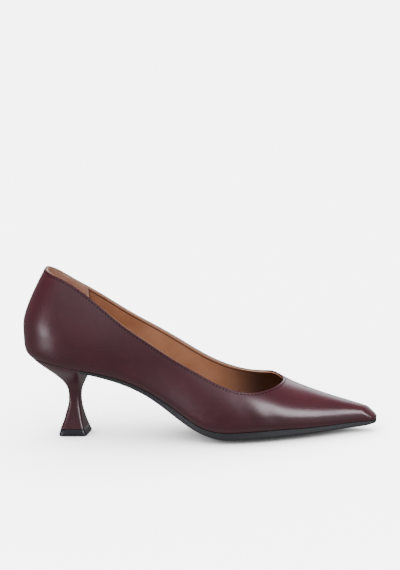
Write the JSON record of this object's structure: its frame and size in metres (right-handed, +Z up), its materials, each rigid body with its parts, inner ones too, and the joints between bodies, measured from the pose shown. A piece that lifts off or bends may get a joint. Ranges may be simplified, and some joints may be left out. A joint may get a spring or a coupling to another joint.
{
  "type": "heeled court shoe",
  "caption": "Right leather court shoe with a pointed, snipped toe, a low-cut topline and a low waisted heel that flares to its tip.",
  "frame": {"origin": "middle of the heel tip's face on the ground", "axes": "+X from the heel to the toe, +Y to the inner side of the foot, +Z up from the ground"},
  "size_m": [0.2482, 0.0717, 0.1223],
  "materials": {
    "upper_leather": "smooth burgundy leather with a satin sheen",
    "lining_leather": "matte tan lining leather",
    "sole": "matte black",
    "heel_leather": "burgundy leather drawn over the block, satin",
    "tip": "black, satin"
  },
  "bodies": {
    "root": {"upper": "upper_leather", "insole": "lining_leather", "outsole": "sole", "heel": "heel_leather", "heel_tip": "tip"}
  },
  "joints": []
}
